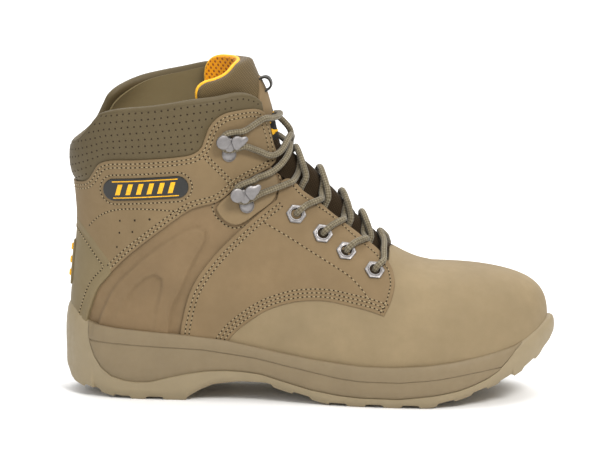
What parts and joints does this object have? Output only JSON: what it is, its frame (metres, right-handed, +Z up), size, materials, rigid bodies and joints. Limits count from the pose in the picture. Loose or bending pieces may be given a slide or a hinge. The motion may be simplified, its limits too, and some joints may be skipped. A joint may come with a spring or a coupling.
{
  "type": "steel toe work boot",
  "caption": "Right ankle-height lace-up safety boot with steel toe cap, puncture plate, padded collar, folding tongue and lugged two-part sole.",
  "frame": {"origin": "on the ground, under the middle of the boot's box in plan", "axes": "+X towards the toe, -Y the outer side of the right foot, +Z up"},
  "size_m": [0.31, 0.1056, 0.2164],
  "materials": {
    "leather_tan": "tan nubuck, matt, mottled",
    "leather_olive": "smooth olive brown leather, perforated",
    "brown_cloth": "dark brown tongue cloth",
    "tongue_cloth": "tan woven cloth",
    "yellow_mesh": "yellow spacer mesh",
    "yellow_trim": "yellow moulded rubber",
    "lining_cloth": "tan lining cloth",
    "outsole": "tan moulded rubber",
    "midsole": "tan moulded polyurethane",
    "hook_metal": "satin nickel plate",
    "steel": "pressed steel, painted edges",
    "lace": "round braided polyester",
    "aglet": "clear brown plastic",
    "board": "stiff fibre board",
    "foam_strip": "soft black edge strip",
    "footbed": "black needled cloth on foam",
    "badge": "black moulded rubber with yellow bars",
    "label": "woven label, black with grey and yellow stripes",
    "webbing": "dark grey woven webbing"
  },
  "bodies": {
    "boot": {"aglet_a": "aglet", "aglet_b": "aglet", "ankle_panel_lateral": "leather_tan", "ankle_panel_medial": "leather_tan", "backstay": "leather_tan", "badge_lateral": "badge", "collar": "leather_olive", "eyelet_lateral_1": "hook_metal", "eyelet_lateral_2": "hook_metal", "eyelet_lateral_3": "hook_metal", "eyelet_lateral_4": "hook_metal", "eyelet_medial_1": "hook_metal", "eyelet_medial_2": "hook_metal", "eyelet_medial_3": "hook_metal", "eyelet_medial_4": "hook_metal", "footbed": "footbed", "gusset_lateral": "brown_cloth", "gusset_medial": "brown_cloth", "heel_counter": "board", "heel_patch": "yellow_trim", "hook_facing_lateral": "leather_tan", "hook_facing_medial": "leather_tan", "hook_lateral_1": "hook_metal", "hook_lateral_2": "hook_metal", "hook_medial_1": "hook_metal", "hook_medial_2": "hook_metal", "hook_rivet_lateral_1": "hook_metal", "hook_rivet_lateral_2": "hook_metal", "hook_rivet_medial_1": "hook_metal", "hook_rivet_medial_2": "hook_metal", "insole_board": "board", "lace": "lace", "lace_end_a": "lace", "lace_end_b": "lace", "lining": "lining_cloth", "midsole": "midsole", "outsole": "outsole", "puncture_plate": "steel", "quarter_lateral": "leather_tan", "quarter_medial": "leather_tan", "side_panel_lateral": "leather_tan", "side_panel_medial": "leather_tan", "steel_toe_cap": "steel", "toe_cap_edge_strip": "foam_strip", "tongue_label": "label", "tongue_lining_lower": "yellow_mesh", "tongue_lower": "brown_cloth", "tongue_wing_lateral": "tongue_cloth", "tongue_wing_medial": "tongue_cloth", "vamp": "leather_tan"},
    "tongue_fold": {"tongue_top": "tongue_cloth", "tongue_lining_top": "yellow_mesh", "tongue_loop": "webbing"}
  },
  "joints": [
    {"name": "tongue_tilt", "type": "hinge", "parent": "boot", "child": "tongue_fold", "pos_m": [-0.0236, 0, 0.1845], "axis": [0, 1, 0], "range_deg": [-8, 30], "stiffness_Nm_per_rad": 0.2}
  ]
}
